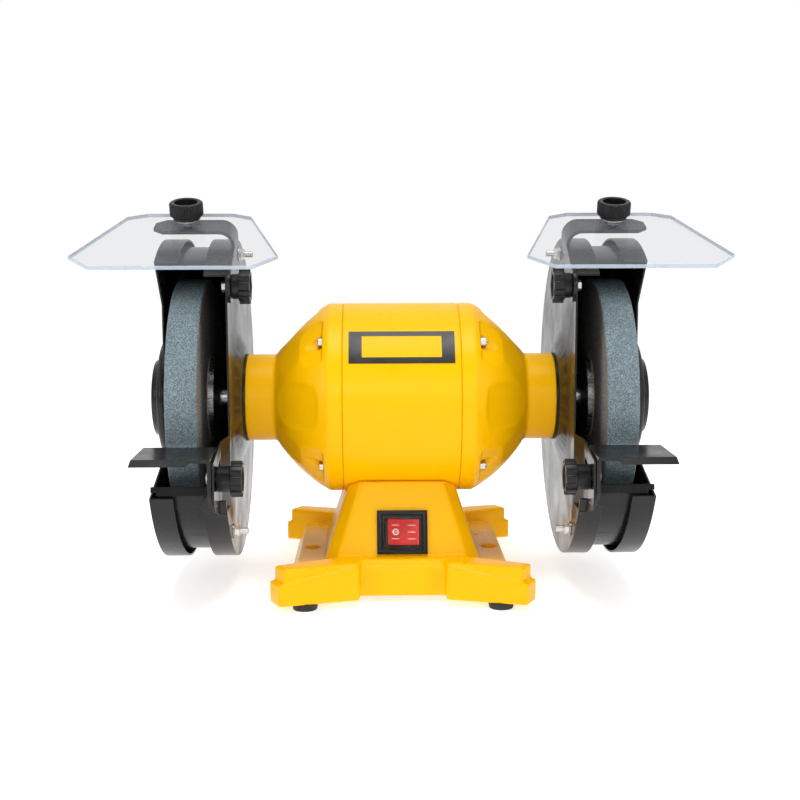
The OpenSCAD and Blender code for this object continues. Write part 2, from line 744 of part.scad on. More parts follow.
module tool_rest(s) on_axis() side(s) color(black) difference() {
    union() {
        // Work plate
        translate([rest_x0, rest_front_y, rest_top_z - rest_t]) cube([rest_x1 - rest_x0, rest_depth, rest_t]);
        // Front lip, cut off at a slant at both ends
        intersection() {
            sheet_x(rest_x0, rest_x1 + 3 - rest_x0)
                polygon([[rest_front_y, rest_top_z], [rest_front_y + rest_t, rest_top_z],
                         [rest_front_y + rest_t - lip_out, rest_top_z - lip_h], [rest_front_y - lip_out, rest_top_z - lip_h]]);
            rotate([90, 0, 0]) linear_extrude(400, center = true)
                polygon([[lip_x0, rest_top_z], [rest_x1, rest_top_z], [rest_x1 + 1.8, rest_top_z - lip_h], [lip_x0 + 4.7, rest_top_z - lip_h]]);
        }
        // Leg that lies against the guard's tab
        sheet_x(rest_x0, rest_t)
            polygon([[-150, rest_top_z], [-108, rest_top_z], [-112, -56], [-122, -62], [-124, -65], [-142, -65], [-150, -55]]);
        // Ear bent out from the leg's lower corner
        translate([0, -140.5, 0]) rotate([90, 0, 0]) linear_extrude(2.5)
            polygon([[rest_x0 + 1, -55.5], [rest_x0 + rest_t + 1, -55.5], [rest_x0 + 11, -66.5], [rest_x0 + 9, -68], [rest_x0 + 1, -63.5]]);
    }
    on_rest_bolt() rod_x(rest_x0 - cut, rest_x0 + rest_t + cut, clamp_r);
}

module rest_bolt(s) on_axis() side(s) on_rest_bolt() color(zinc) {
    rod_x(tab_x - 15, rest_x0 + rest_t + 1, clamp_r);
    lathe_x([[rest_x0 + rest_t, 0], [rest_x0 + rest_t, 7], [rest_x0 + rest_t + 1.2, 7],
             [rest_x0 + rest_t + 3.2, 4], [rest_x0 + rest_t + 3.4, 0]]);
}

// Lobed knob about X, its hub against x0 and its grip toward the motor
module lobed_knob(x0, hub_l) {
    grip_l = 8.8;
    grip_r = 13.8;
    difference() {
        union() {
            rod_x(x0 - hub_l - 1, x0, 9.8);
            difference() {
                rod_x(x0 - hub_l - grip_l, x0 - hub_l, grip_r);
                for (i = [0:7]) at_angle(i * 45 + 22.5, grip_r + 0.9) rod_x(x0 - hub_l - grip_l - cut, x0 - hub_l + cut, 3.4);
            }
        }
        rod_x(x0 - hub_l - grip_l - cut, x0 - hub_l - grip_l + 1.5, 9);
        rod_x(x0 - hub_l - 6, x0 + cut, clamp_r + 0.05);
    }
}

module rest_knob(s) on_axis() side(s) on_rest_bolt() color(black) lobed_knob(tab_x - slip, 10.5);

// ---- Eye shields ---------------------------------------------------------

// Frame on the bracket's pivot, with its second axis along the shield
module on_pivot() translate([0, pivot_y, pivot_z]) rotate([shield_tilt, 0, 0]) children();

module shield_bracket(s) on_axis() side(s) on_pivot() color(black) {
    bend_x = bracket_x + bracket_t + bend_r;
    bend_v = arm_top - bracket_t - bend_r;
    difference() {
        union() {
            sheet_x(bracket_x, bracket_t) {
                circle(r = 13);
                polygon([[-8, 10.2], [arm_u0, bend_v], [arm_u1, bend_v], [arm_u1, bend_v - 4], [9, -9.4]]);
            }
            translate([bend_x, arm_u0, bend_v]) rotate([-90, 0, 0]) rotate([0, 0, 180])
                rotate_extrude(angle = 90) translate([bend_r, 0]) square([bracket_t, arm_u1 - arm_u0]);
            translate([0, 0, arm_top - bracket_t]) linear_extrude(bracket_t)
                polygon([[bend_x, arm_u0], [arm_end_x - 8, arm_u0], [arm_end_x, arm_u0 + 8],
                         [arm_end_x, arm_u1 - 8], [arm_end_x - 8, arm_u1], [bend_x, arm_u1]]);
        }
        rod_x(bracket_x - cut, bracket_x + bracket_t + cut, clamp_r + 0.05);
        translate([wheel_mid_x, arm_mid, arm_top - 5]) cylinder(h = 10, r = clamp_r);
    }
}

module tilt_bolts() on_axis() color(zinc)
    for (s = [-1, 1]) side(s) translate([0, pivot_y, pivot_z]) {
        rod_x(disc_x - 13, disc_out_x + 1, clamp_r);
        hex_x(disc_out_x, disc_out_x + 3, 8);
    }

module tilt_knob(s) on_axis() side(s) translate([0, pivot_y, pivot_z]) color(black) lobed_knob(bracket_x - slip, 5.8);

// Clear plate, drawn from the knob's hole
module eye_shield(s) on_axis() side(s) on_pivot() color(clear)
    translate([wheel_mid_x, 0, shield_v]) difference() {
        linear_extrude(shield_t) let (front = shield_rear_u - shield_l, half = shield_w / 2)
            polygon([
                [-half + 18.5, front], [half - 18.5, front], [half, front + 23], [half - 28, shield_rear_u - 8.5],
                [half - 43.5, shield_rear_u], [-half + 43.5, shield_rear_u], [-half + 28, shield_rear_u - 8.5], [-half, front + 23]
            ]);
        translate([0, arm_mid, -cut]) cylinder(h = 5, r = clamp_r + slip);
    }

module top_bolt(s) on_axis() side(s) on_pivot() translate([wheel_mid_x, arm_mid, 0]) color(zinc) {
    translate([0, 0, arm_top - bracket_t - 2.6]) cylinder(h = 2.6, r = 6);
    translate([0, 0, arm_top - bracket_t - 1]) cylinder(h = top_knob_v + 9 - arm_top + bracket_t + 1, r = clamp_r);
    translate([0, 0, washer_v]) difference() {
        cylinder(h = washer_t, r = 8.4);
        translate([0, 0, -cut]) cylinder(h = 4, r = clamp_r);
    }
}

module top_knob(s) on_axis() side(s) on_pivot() translate([wheel_mid_x, arm_mid, top_knob_v]) color(black) difference() {
    union() {
        cylinder(h = 3, r = 11);
        translate([0, 0, 2.5]) cylinder(h = top_knob_h - 3.5, r = 13.5);
        translate([0, 0, top_knob_h - 1]) cylinder(h = 1, r1 = 13.5, r2 = 12.3);
    }
    translate([0, 0, top_knob_h - 4.5]) cylinder(h = 5, r = 9.3);
    translate([0, 0, -cut]) cylinder(h = 10, r = clamp_r + 0.05);
}

// ---- Nodes ---------------------------------------------------------------

base_casting();
base_plate();
base_plate_screws();
rubber_feet();
saddle_bolts();
motor_shell();
end_bell(-1);  // end_bell_left
end_bell(1);  // end_bell_right
through_bolts();
stator_core();
stator_windings();
shaft();
rotor_core();
bearing_outer_rings();
bearing_inner_rings();
bearing_balls();
wave_washer();
capacitor();
capacitor_clamp();
terminal_block();
cord_grommet();
switch_body();
switch_rocker();
switch_cover();
nameplate();
neck_rings();
inner_guard(-1);  // inner_guard_left
inner_guard(1);  // inner_guard_right
guard_band(-1);  // guard_band_left
guard_band(1);  // guard_band_right
outer_cover(-1);  // outer_cover_left
outer_cover(1);  // outer_cover_right
guard_bolts();
guard_mount_screws();
inner_flange(-1);  // inner_flange_left
inner_flange(1);  // inner_flange_right
outer_flange(-1);  // outer_flange_left
outer_flange(1);  // outer_flange_right
wheel(-1);  // wheel_left
wheel(1);  // wheel_right
wheel_blotters();
spindle_nuts();
tool_rest(-1);  // tool_rest_left
tool_rest(1);  // tool_rest_right
rest_bolt(-1);  // rest_bolt_left
rest_bolt(1);  // rest_bolt_right
rest_knob(-1);  // rest_knob_left
rest_knob(1);  // rest_knob_right
shield_bracket(-1);  // shield_bracket_left
shield_bracket(1);  // shield_bracket_right
tilt_bolts();
tilt_knob(-1);  // tilt_knob_left
tilt_knob(1);  // tilt_knob_right
eye_shield(-1);  // eye_shield_left
eye_shield(1);  // eye_shield_right
top_bolt(-1);  // top_bolt_left
top_bolt(1);  // top_bolt_right
top_knob(-1);  // top_knob_left
top_knob(1);  // top_knob_right
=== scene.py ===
import json
import math

import bpy
from bpy.props import FloatProperty, FloatVectorProperty, IntProperty, PointerProperty
from mathutils import Matrix, Vector

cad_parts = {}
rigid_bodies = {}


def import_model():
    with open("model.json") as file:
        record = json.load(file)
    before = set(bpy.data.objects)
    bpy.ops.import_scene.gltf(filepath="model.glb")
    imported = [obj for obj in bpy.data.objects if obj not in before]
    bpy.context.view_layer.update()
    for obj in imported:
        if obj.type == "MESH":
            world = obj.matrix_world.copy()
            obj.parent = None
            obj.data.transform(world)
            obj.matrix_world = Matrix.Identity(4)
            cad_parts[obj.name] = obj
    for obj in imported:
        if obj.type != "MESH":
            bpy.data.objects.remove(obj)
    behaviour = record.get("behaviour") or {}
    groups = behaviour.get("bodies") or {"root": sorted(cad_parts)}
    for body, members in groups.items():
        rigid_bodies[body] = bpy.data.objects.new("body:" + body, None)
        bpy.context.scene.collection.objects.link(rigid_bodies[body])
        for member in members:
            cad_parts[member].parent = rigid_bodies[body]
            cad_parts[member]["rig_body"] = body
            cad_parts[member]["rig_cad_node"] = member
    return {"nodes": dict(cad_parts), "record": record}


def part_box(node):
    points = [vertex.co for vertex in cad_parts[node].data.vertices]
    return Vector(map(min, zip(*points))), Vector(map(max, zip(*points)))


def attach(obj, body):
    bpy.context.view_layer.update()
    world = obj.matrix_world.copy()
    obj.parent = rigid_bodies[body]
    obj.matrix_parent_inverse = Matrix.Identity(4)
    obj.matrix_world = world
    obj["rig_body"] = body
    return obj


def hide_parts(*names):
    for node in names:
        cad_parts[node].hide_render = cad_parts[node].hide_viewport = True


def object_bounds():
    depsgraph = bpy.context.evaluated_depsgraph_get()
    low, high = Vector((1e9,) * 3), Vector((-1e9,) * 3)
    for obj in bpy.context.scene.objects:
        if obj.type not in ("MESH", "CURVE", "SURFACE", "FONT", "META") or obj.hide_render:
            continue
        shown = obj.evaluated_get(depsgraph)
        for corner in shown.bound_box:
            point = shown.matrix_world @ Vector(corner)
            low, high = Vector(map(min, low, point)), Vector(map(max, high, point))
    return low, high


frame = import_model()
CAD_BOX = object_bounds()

bl_info = {
    "name": "Bench grinder",
    "version": (1, 0, 0),
    "blender": (4, 5, 0),
    "location": "View3D > Sidebar > Grinder",
    "description": "Finishes a bench grinder around its fixed frame",
    "category": "Object",
}

# The middle of the shaft's axis, which lies along X
SHAFT_LOW, SHAFT_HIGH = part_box("shaft")
AXIS = Vector((0, (SHAFT_LOW.y + SHAFT_HIGH.y) / 2, (SHAFT_LOW.z + SHAFT_HIGH.z) / 2))
SIDES = ("left", "right")


# ---- Sizes and colours that a user would change ---------------------------

def colour(name, description, default):
    return FloatVectorProperty(name=name, description=description, default=default, size=3, min=0, max=1,
                               subtype="COLOR")


def length(name, description, default, top=0.05):
    return FloatProperty(name=name, description=description, default=default, min=0.00005, max=top,
                         precision=5, subtype="DISTANCE", unit="LENGTH")


def power(name, description, default):
    return FloatProperty(name=name, description=description, default=default, min=0, max=500, unit="POWER")


class GrinderPaint(bpy.types.PropertyGroup):
    """Colours of the machine's finishes."""
    body: colour("Body enamel", "Enamel on the base, the motor and its end bells", (0.96, 0.5, 0.0))
    guard: colour("Guard enamel", "Enamel on the guards, rests and brackets", (0.012, 0.012, 0.013))
    plastic: colour("Knob plastic", "Plastic of the knobs and the switch frame", (0.007, 0.007, 0.008))
    abrasive: colour("Abrasive", "Colour of the grinding wheels' rims", (0.2, 0.26, 0.285))
    rocker: colour("Rocker", "Colour of the lit switch rocker", (0.52, 0.012, 0.004))


class GrinderDetail(bpy.types.PropertyGroup):
    """Sizes of the details that finish each piece."""
    base_grain: length("Base grain", "Mesh size of the cast base; a larger one rounds its edges more", 0.0014)
    bell_grain: length("Bell grain", "Mesh size of the end bells; a larger one rounds their edges more", 0.0011)
    sheet_edge: length("Sheet edge", "Radius on the edges of the bent sheet parts", 0.00035)
    shield_edge: length("Shield edge", "Bevel round the clear shields", 0.0005)
    knob_edge: length("Knob edge", "Radius on the lobed knobs' edges", 0.0007)
    hardware_edge: length("Hardware edge", "Chamfer on nuts and bolt heads", 0.00025)
    flutes: IntProperty(name="Flutes", description="Flutes round each top knob", default=36, min=12, max=60)


class GrinderStage(bpy.types.PropertyGroup):
    """The floor, the light and the lens."""
    floor: colour("Floor", "Colour of the floor", (0.88, 0.88, 0.88))
    key: power("Key light", "Power of the overhead light", 11.5)
    fill: power("Side light", "Power of each side light", 5.0)
    front: power("Front light", "Power of the light above the camera", 8.0)
    lens: FloatProperty(name="Lens", description="Focal length of the camera", default=58.42, min=20, max=200,
                        unit="CAMERA")


def paint():
    return bpy.context.scene.grinder_paint


def detail():
    return bpy.context.scene.grinder_detail


# ---- Materials -------------------------------------------------------------

class Finish:
    """One procedural material on Object coordinates, built node by node."""

    def __init__(self, name, **sockets):
        self.mat = bpy.data.materials.new(name)
        self.mat.use_nodes = True
        self.tree = self.mat.node_tree
        self.tree.nodes.clear()
        self.shader = self.add("ShaderNodeBsdfPrincipled")
        out = self.add("ShaderNodeOutputMaterial")
        self.tree.links.new(self.shader.outputs[0], out.inputs[0])
        self.place = self.add("ShaderNodeTexCoord").outputs["Object"]
        self.height = None
        for key, value in sockets.items():
            self.shader.inputs[key.replace("_", " ")].default_value = value

    def add(self, kind, inputs=None, **settings):
        node = self.tree.nodes.new(kind)
        for key, value in settings.items():
            setattr(node, key, value)
        for key, value in (inputs or {}).items():
            if isinstance(value, bpy.types.NodeSocket):
                self.tree.links.new(value, node.inputs[key])
            else:
                node.inputs[key].default_value = value
        return node

    def stretched(self, scale):
        return self.add("ShaderNodeMapping", {"Vector": self.place, "Scale": scale}).outputs[0]

    def noise(self, scale, detail=3.0, place=None):
        inputs = {"Vector": place or self.place, "Scale": scale, "Detail": detail}
        return self.add("ShaderNodeTexNoise", inputs).outputs["Fac"]

    def ramp(self, source, *stops):
        node = self.add("ShaderNodeValToRGB", {"Fac": source})
        while len(node.color_ramp.elements) < len(stops):
            node.color_ramp.elements.new(0.5)
        for element, (position, value) in zip(node.color_ramp.elements, stops):
            element.position = position
            element.color = (*value, 1) if hasattr(value, "__len__") else (value, value, value, 1)
        return node.outputs["Color"]

    def blend(self, factor, a, b, how="MIX"):
        node = self.add("ShaderNodeMix", data_type="RGBA", blend_type=how)
        for socket, value in zip((node.inputs[0], node.inputs[6], node.inputs[7]), (factor, a, b)):
            if isinstance(value, bpy.types.NodeSocket):
                self.tree.links.new(value, socket)
            else:
                socket.default_value = value
        return node.outputs[2]

    def base(self, source):
        self.tree.links.new(source, self.shader.inputs["Base Color"])
        return self

    def rough(self, scale, low, high, place=None):
        value = self.ramp(self.noise(scale, 4.0, place), (0.35, low), (0.65, high))
        self.tree.links.new(value, self.shader.inputs["Roughness"])
        return self

    def bump(self, source, strength, distance):
        inputs = {"Height": source, "Strength": strength, "Distance": distance}
        if self.height:
            inputs["Normal"] = self.height
        self.height = self.add("ShaderNodeBump", inputs).outputs[0]
        self.tree.links.new(self.height, self.shader.inputs["Normal"])
        return self


def shade(value, factor):
    return tuple(min(1.0, c * factor) for c in value)


def enamel(name, tone, low, high, spread, gloss):
    """Sprayed gloss enamel with a slight orange peel and thin settled dust."""
    f = Finish(name, Specular_IOR_Level=gloss)
    f.base(f.ramp(f.noise(9.0), (0.35, shade(tone, 1 - spread)), (0.65, shade(tone, 1 + spread))))
    f.rough(38.0, low, high)
    return f.bump(f.noise(420.0, 2.0), 0.07, 0.0003).bump(f.noise(60.0), 0.05, 0.0004).mat


def moulded(name, tone, low, high, grain=1400.0, **sockets):
    """Moulded plastic or rubber with a fine spark-eroded grain."""
    f = Finish(name, **sockets)
    f.base(f.ramp(f.noise(60.0), (0.3, shade(tone, 0.8)), (0.7, shade(tone, 1.3))))
    f.rough(120.0, low, high)
    return f.bump(f.noise(grain, 2.0), 0.25, 0.0002).mat


def plated(name, tone, low, high, streak=(1, 1, 1), scale=260.0):
    """Bare or plated metal; streak stretches the marks that turning or drawing left."""
    f = Finish(name, Metallic=1.0)
    place = f.stretched(streak)
    f.base(f.ramp(f.noise(scale / 8, 4.0, place), (0.3, shade(tone, 0.78)), (0.7, shade(tone, 1.12))))
    f.rough(scale / 2, low, high, place)
    return f.bump(f.noise(scale * 3, 2.0, place), 0.16, 0.0002).mat


def abrasive_finish():
    """Bonded grit: a blue-grey rim that has cut, and paler brown-grey moulded sides."""
    rim = tuple(paint().abrasive)
    side = (0.27, 0.25, 0.23)
    f = Finish("wheel_grit", Roughness=0.92, Specular_IOR_Level=0.2)
    centred = {"Vector": f.place, "Location": (0, -AXIS.y, -AXIS.z), "Scale": (0, 1, 1)}
    from_axis = f.add("ShaderNodeMapping", centred).outputs[0]
    radius = f.add("ShaderNodeVectorMath", {0: from_axis}, operation="LENGTH").outputs["Value"]
    on_rim = f.add("ShaderNodeMath", {0: radius, 1: 0.0993}, operation="GREATER_THAN").outputs[0]
    grain = f.add("ShaderNodeTexVoronoi", {"Vector": f.place, "Scale": 1300.0}).outputs["Color"]
    grey = f.add("ShaderNodeRGBToBW", {"Color": grain}).outputs[0]
    speck = f.ramp(grey, (0.12, 0.5), (0.36, 0.86), (0.62, 1.0), (0.88, 1.6))
    cloud = f.ramp(f.noise(26.0), (0.3, 0.86), (0.7, 1.0))
    tone = f.blend(on_rim, (*side, 1), (*rim, 1))
    f.base(f.blend(1.0, f.blend(1.0, tone, speck, "MULTIPLY"), cloud, "MULTIPLY"))
    return f.bump(grey, 0.45, 0.0004).bump(f.noise(1500.0, 4.0), 0.4, 0.0003).mat


def clear_finish(name, tone, alpha, roughness, scuff=0.03):
    """Clear sheet with faint wipe marks and moulding waves."""
    f = Finish(name, Alpha=alpha, IOR=1.49, Specular_IOR_Level=0.5)
    f.base(f.ramp(f.noise(14.0), (0.3, shade(tone, 0.97)), (0.7, tone)))
    f.rough(70.0, roughness, roughness * 2.2)
    return f.bump(f.noise(30.0, 2.0), scuff, 0.0003).mat


def build_finishes():
    """Every finish by its name; made once."""
    p = paint()
    steel = (0.5, 0.51, 0.53)
    lapped = (1, 9, 9)
    return {
        "body_enamel": enamel("body_enamel", tuple(p.body), 0.26, 0.38, 0.02, 0.14),
        "guard_enamel": enamel("guard_enamel", tuple(p.guard), 0.2, 0.3, 0.2, 0.26),
        "plastic": moulded("knob_plastic", tuple(p.plastic), 0.28, 0.42, Specular_IOR_Level=0.3),
        "rubber": moulded("foot_rubber", (0.018, 0.018, 0.018), 0.62, 0.82, 700.0),
        "white_plastic": moulded("terminal_plastic", (0.72, 0.72, 0.66), 0.4, 0.55),
        "zinc": plated("zinc_plate", (0.6, 0.6, 0.59), 0.22, 0.4),
        "steel": plated("ground_steel", steel, 0.22, 0.36, lapped),
        "bearing": plated("bearing_steel", (0.6, 0.61, 0.63), 0.12, 0.2, lapped),
        "laminate": plated("stator_laminate", (0.2, 0.2, 0.21), 0.4, 0.6, (12, 1, 1)),
        "copper": plated("winding_copper", (0.62, 0.26, 0.11), 0.25, 0.4, (1, 14, 14)),
        "abrasive": abrasive_finish(),
        "blotter": moulded("blotter_card", (0.42, 0.38, 0.28), 0.75, 0.9, 500.0),
        "clear": clear_finish("shield_clear", (0.28, 0.29, 0.33), 0.15, 0.03),
        # Painted highlight: the shield edges get a pale blue-grey, mostly opaque colour in place of the light
        # that their polished edges catch
        "painted_edge_highlight": clear_finish("shield_edge_clear", (0.42, 0.5, 0.6), 0.8, 0.08),
        "hood": clear_finish("switch_hood_clear", (0.3, 0.3, 0.3), 0.035, 0.05),
        "red": moulded("rocker_red", tuple(p.rocker), 0.16, 0.26, 300.0, Specular_IOR_Level=0.15),
        "label": moulded("label_black", (0.012, 0.012, 0.012), 0.32, 0.42, 2200.0),
        "label_panel": enamel("label_yellow", tuple(p.body), 0.32, 0.42, 0.02, 0.14),
        "white_mark": moulded("switch_mark", (0.8, 0.75, 0.7), 0.35, 0.45),
    }


FINISHES = {}

# What each CAD node is made of, by the first word or words of its name
NODE_FINISH = {
    "base_casting": "body_enamel", "motor_shell": "body_enamel", "end_bell": "body_enamel",
    "base_plate": "zinc", "base_plate_screws": "zinc", "saddle_bolts": "zinc", "through_bolts": "zinc",
    "capacitor_clamp": "zinc", "guard_bolts": "zinc", "guard_mount_screws": "zinc", "spindle_nuts": "zinc",
    "tilt_bolts": "zinc", "rest_bolt": "zinc", "top_bolt": "zinc",
    "rubber_feet": "rubber", "cord_grommet": "rubber",
    "capacitor": "plastic", "switch_body": "plastic", "neck_rings": "plastic", "rest_knob": "plastic",
    "tilt_knob": "plastic", "top_knob": "plastic", "terminal_block": "white_plastic",
    "shaft": "steel", "rotor_core": "steel", "wave_washer": "steel", "inner_flange": "steel",
    "outer_flange": "steel",
    "bearing_outer_rings": "bearing", "bearing_inner_rings": "bearing", "bearing_balls": "bearing",
    "stator_core": "laminate", "stator_windings": "copper",
    "inner_guard": "guard_enamel", "guard_band": "guard_enamel", "outer_cover": "guard_enamel",
    "tool_rest": "guard_enamel", "shield_bracket": "guard_enamel",
    "wheel": "abrasive", "wheel_blotters": "blotter",
    "switch_rocker": "red", "switch_cover": "hood", "nameplate": "label", "eye_shield": "clear",
}


def finish_of(node):
    return NODE_FINISH[node if node in NODE_FINISH else node.rsplit("_", 1)[0]]


def coat(piece, *finishes):
    piece.data.materials.clear()
    for finish in finishes:
        piece.data.materials.append(FINISHES[finish])


# ---- Modelling helpers -----------------------------------------------------

def only(piece):
    """Selects one object alone and makes it the active one."""
    bpy.ops.object.select_all(action="DESELECT")
    piece.select_set(True)
    bpy.context.view_layer.objects.active = piece
    return piece


def edit(piece, *steps):
    """Runs steps in edit mode with the whole mesh selected."""
    only(piece)
    bpy.ops.object.mode_set(mode="EDIT")
    bpy.ops.mesh.select_all(action="SELECT")
    for step in steps:
        step()
    bpy.ops.object.mode_set(mode="OBJECT")


def pick(piece, kind, test):
    """Selects the edges or faces of a mesh that pass a test, and leaves it in edit mode."""
    only(piece)
    bpy.ops.object.mode_set(mode="EDIT")
    bpy.ops.mesh.select_mode(type=kind)
    bpy.ops.mesh.select_all(action="DESELECT")
    bpy.ops.object.mode_set(mode="OBJECT")
    mesh = piece.data
    parts = {"VERT": mesh.vertices, "EDGE": mesh.edges, "FACE": mesh.polygons}[kind]
    for part in parts:
        part.select = test(part)
    bpy.ops.object.mode_set(mode="EDIT")


def smooth(piece, angle=32):
    only(piece)
    bpy.ops.object.shade_smooth_by_angle(angle=math.radians(angle))


def sharp_edges(piece, angle):
    """The indices of the edges whose two faces meet at more than an angle."""
    mesh = piece.data
    faces = {}
    for face in mesh.polygons:
        for key in face.edge_keys:
            faces.setdefault(key, []).append(face.normal)
    limit = math.cos(math.radians(angle))
    return {e.index for e in mesh.edges
            if len(faces.get(e.key, ())) == 2 and faces[e.key][0].dot(faces[e.key][1]) < limit}


def copied(name, node):
    """A loose copy of a CAD node, with its triangles joined."""
    piece = frame["nodes"][node].copy()
    piece.data = piece.data.copy()
    piece.name = piece.data.name = name
    piece.parent = None
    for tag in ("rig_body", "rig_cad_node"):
        if tag in piece:
            del piece[tag]
    bpy.context.scene.collection.objects.link(piece)
    edit(piece, lambda: bpy.ops.mesh.remove_doubles(threshold=2e-6))
    return piece


def softened(name, node, radius, segments=2, angle=30, shortest=0.0):
    """A copy of a CAD node with its sharp edges rounded."""
    piece = copied(name, node)
    edit(piece, lambda: bpy.ops.mesh.dissolve_limited(angle_limit=math.radians(0.6)))
    sharp = sharp_edges(piece, angle)
    points = [v.co.copy() for v in piece.data.vertices]

    def wanted(edge):
        a, b = (points[i] for i in edge.vertices)
        return edge.index in sharp and (a - b).length >= shortest

    pick(piece, "EDGE", wanted)
    bpy.ops.mesh.bevel(offset=radius, offset_type="OFFSET", segments=segments, profile=0.5,
                       clamp_overlap=False)
    bpy.ops.object.mode_set(mode="OBJECT")
    smooth(piece, 20)
    return piece


def modify(piece, kind, **settings):
    """Adds one modifier and applies it."""
    only(piece)
    modifier = piece.modifiers.new(kind.lower(), kind)
    for key, value in settings.items():
        setattr(modifier, key, value)
    bpy.ops.object.modifier_apply(modifier=modifier.name)


def cast(name, node, grain, rounds=4):
    """A copy of a CAD node with the soft edges and slightly uneven skin of a casting."""
    piece = copied(name, node)
    modify(piece, "REMESH", mode="VOXEL", voxel_size=grain, use_smooth_shade=True)
    modify(piece, "SMOOTH", factor=0.5, iterations=rounds)
    return piece


def turned(name, rings, profile):
    """A solid turned about Z, stepped along a profile of (radius, height) in metres."""
    bpy.ops.object.select_all(action="DESELECT")
    radius, height = profile[0]
    bpy.ops.mesh.primitive_circle_add(vertices=rings, radius=radius, fill_type="NGON", location=(0, 0, height))
    piece = bpy.context.object
    piece.name = piece.data.name = name

    def steps():
        for (r0, z0), (r1, z1) in zip(profile, profile[1:]):
            bpy.ops.mesh.extrude_region_move(TRANSFORM_OT_translate={"value": (0, 0, z1 - z0)})
            bpy.ops.transform.resize(value=(r1 / r0, r1 / r0, 1))
        bpy.ops.mesh.select_all(action="SELECT")
        bpy.ops.mesh.normals_make_consistent(inside=False)

    edit(piece, steps)
    return piece


def fluted(piece, count, inner, outer, keep):
    """Presses flutes into the rim of a turned solid that has four points to a flute."""
    only(piece)
    bpy.ops.object.transform_apply(location=True)

    def in_flute(v):
        turn = round(math.atan2(v.co.y, v.co.x) / (2 * math.pi) * 4 * count)
        return turn % 4 in (1, 2) and inner < math.hypot(v.co.x, v.co.y) < outer

    chosen = [in_flute(v) for v in piece.data.vertices]
    pick(piece, "VERT", lambda v: chosen[v.index])
    bpy.ops.transform.resize(value=(keep, keep, 1), center_override=(0, 0, 0))
    bpy.ops.object.mode_set(mode="OBJECT")


def joint(name):
    """The centre and the axis of a joint."""
    found = next(j for j in frame["record"]["behaviour"]["joints"] if j["name"] == name)
    return Vector(found["pos_m"]), Vector(found["axis"])


def on_joint(name):
    """A matrix that puts +Z on a joint's axis and the origin at its centre."""
    centre, axis = joint(name)
    return Matrix.Translation(centre) @ axis.to_track_quat("Z", "Y").to_matrix().to_4x4()


def place(piece, node, body, slot, *finishes, at=None, stands_for=True):
    """Finishes a piece: transforms applied, coated, riding on its body."""
    only(piece)
    if at is not None:
        piece.matrix_world = at @ piece.matrix_world
        bpy.context.view_layer.update()
    bpy.ops.object.transform_apply(location=True, rotation=True, scale=True)
    coat(piece, *(finishes or [finish_of(node)]))
    if stands_for:
        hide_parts(node)
    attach(piece, body)
    return piece


# ---- Operators, one for each piece or group of like pieces -----------------

class GrinderOperator:
    """What all the operators share."""
    bl_options = {"REGISTER", "UNDO"}


class GRINDER_OT_finishes(GrinderOperator, bpy.types.Operator):
    """Makes the finishes and coats every part of the frame"""
    bl_idname = "grinder.finishes"
    bl_label = "Coat the frame"

    def execute(self, context):
        FINISHES.update(build_finishes())
        for name, node in frame["nodes"].items():
            coat(node, finish_of(name))
        return {"FINISHED"}


class GRINDER_OT_castings(GrinderOperator, bpy.types.Operator):
    """Makes the cast base and the two cast end bells"""
    bl_idname = "grinder.castings"
    bl_label = "Castings"

    def execute(self, context):
        place(cast("cast_base", "base_casting", detail().base_grain), "base_casting", "frame", "yellow_paint")
        for side in SIDES:
            node = f"end_bell_{side}"
            place(cast(f"cast_bell_{side}", node, detail().bell_grain, 2), node, "frame", "yellow_paint")
        return {"FINISHED"}


class GRINDER_OT_sheet_parts(GrinderOperator, bpy.types.Operator):
    """Rounds the edges of the guards, the tool rests and the shield brackets"""
    bl_idname = "grinder.sheet_parts"
    bl_label = "Bent sheet parts"

    def execute(self, context):
        for side in SIDES:
            for part, body in (("inner_guard", "frame"), ("guard_band", "frame"), ("outer_cover", "frame"),
                               ("tool_rest", f"rest_{side}"), ("shield_bracket", f"bracket_{side}")):
                node = f"{part}_{side}"
                piece = softened(f"bent_{node}", node, detail().sheet_edge, angle=40)
                place(piece, node, body, "black_paint")
        return {"FINISHED"}


class GRINDER_OT_hardware(GrinderOperator, bpy.types.Operator):
    """Chamfers the bolts and nuts that show, and rounds the rubber feet"""
    bl_idname = "grinder.hardware"
    bl_label = "Bolts, nuts and feet"

    def execute(self, context):
        edge = detail().hardware_edge
        for node, body in (("guard_bolts", "frame"), ("through_bolts", "frame"), ("tilt_bolts", "frame"),
                           ("rest_bolt_left", "rest_left"), ("rest_bolt_right", "rest_right")):
            place(softened(f"turned_{node}", node, edge, segments=1, angle=35), node, body, "zinc")
        feet = softened("moulded_feet", "rubber_feet", 0.0009, segments=3, angle=50)
        place(feet, "rubber_feet", "frame", "rubber")
        return {"FINISHED"}


class GRINDER_OT_lobed_knobs(GrinderOperator, bpy.types.Operator):
    """Rounds the lobed clamp knobs of the rests and the shield brackets"""
    bl_idname = "grinder.lobed_knobs"
    bl_label = "Lobed knobs"

    def execute(self, context):
        for side in SIDES:
            for part in ("rest_knob", "tilt_knob"):
                node = f"{part}_{side}"
                piece = softened(f"moulded_{node}", node, detail().knob_edge, segments=3, angle=40)
                place(piece, node, node, "black_plastic")
        return {"FINISHED"}


